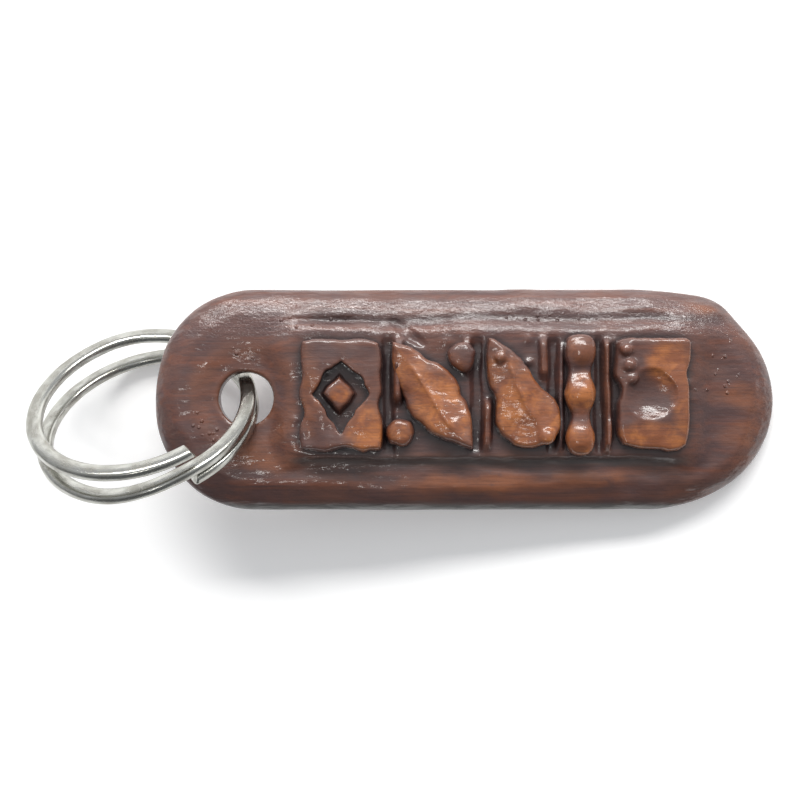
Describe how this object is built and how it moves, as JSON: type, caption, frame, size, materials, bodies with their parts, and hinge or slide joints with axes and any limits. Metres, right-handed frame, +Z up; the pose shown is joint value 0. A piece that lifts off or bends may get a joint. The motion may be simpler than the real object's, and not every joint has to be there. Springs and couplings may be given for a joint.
{
  "type": "keychain",
  "caption": "Carved wooden tag with rounded ends, a drilled hole and a raised relief, hung on a flat-wire split ring sprung slightly open.",
  "frame": {"origin": "on the surface that the keychain lies on, under the middle of its bounding box", "axes": "+Z up, +X along the tag from the ring's end to the plain end, +Y across the tag; the tag leans 6.7 degrees, because its holed end lies on the ring"},
  "size_m": [0.0832, 0.0252, 0.0212],
  "materials": {
    "stained_wood": "dark brown stain under thick glossy lacquer",
    "lacquered_wood": "amber brown stain under thick glossy lacquer",
    "ring_wire": "bright nickel plate with fine drawing lines"
  },
  "bodies": {
    "tag": {"tag_board": "stained_wood", "relief_panel": "stained_wood", "relief_diamond_tile": "lacquered_wood", "relief_leaf": "lacquered_wood", "relief_drop": "lacquered_wood", "relief_spindle": "lacquered_wood", "relief_dished_tile": "lacquered_wood"},
    "ring": {"split_ring_coil": "ring_wire"},
    "ring_end": {"split_ring_free_end": "ring_wire"}
  },
  "joints": [
    {"name": "ring_swing", "type": "hinge", "parent": "tag", "child": "ring", "pos_m": [-0.01756, 0, 0.00844], "axis": [-0.9749, -0.1908, 0.1147], "range_deg": [0, 88]},
    {"name": "ring_flex", "type": "hinge", "parent": "ring", "child": "ring_end", "pos_m": [-0.03689, 0.00578, 0.00532], "axis": [-0.7367, -0.5031, 0.4519], "range_deg": [-2.5, 8], "stiffness_Nm_per_rad": 1.5}
  ]
}
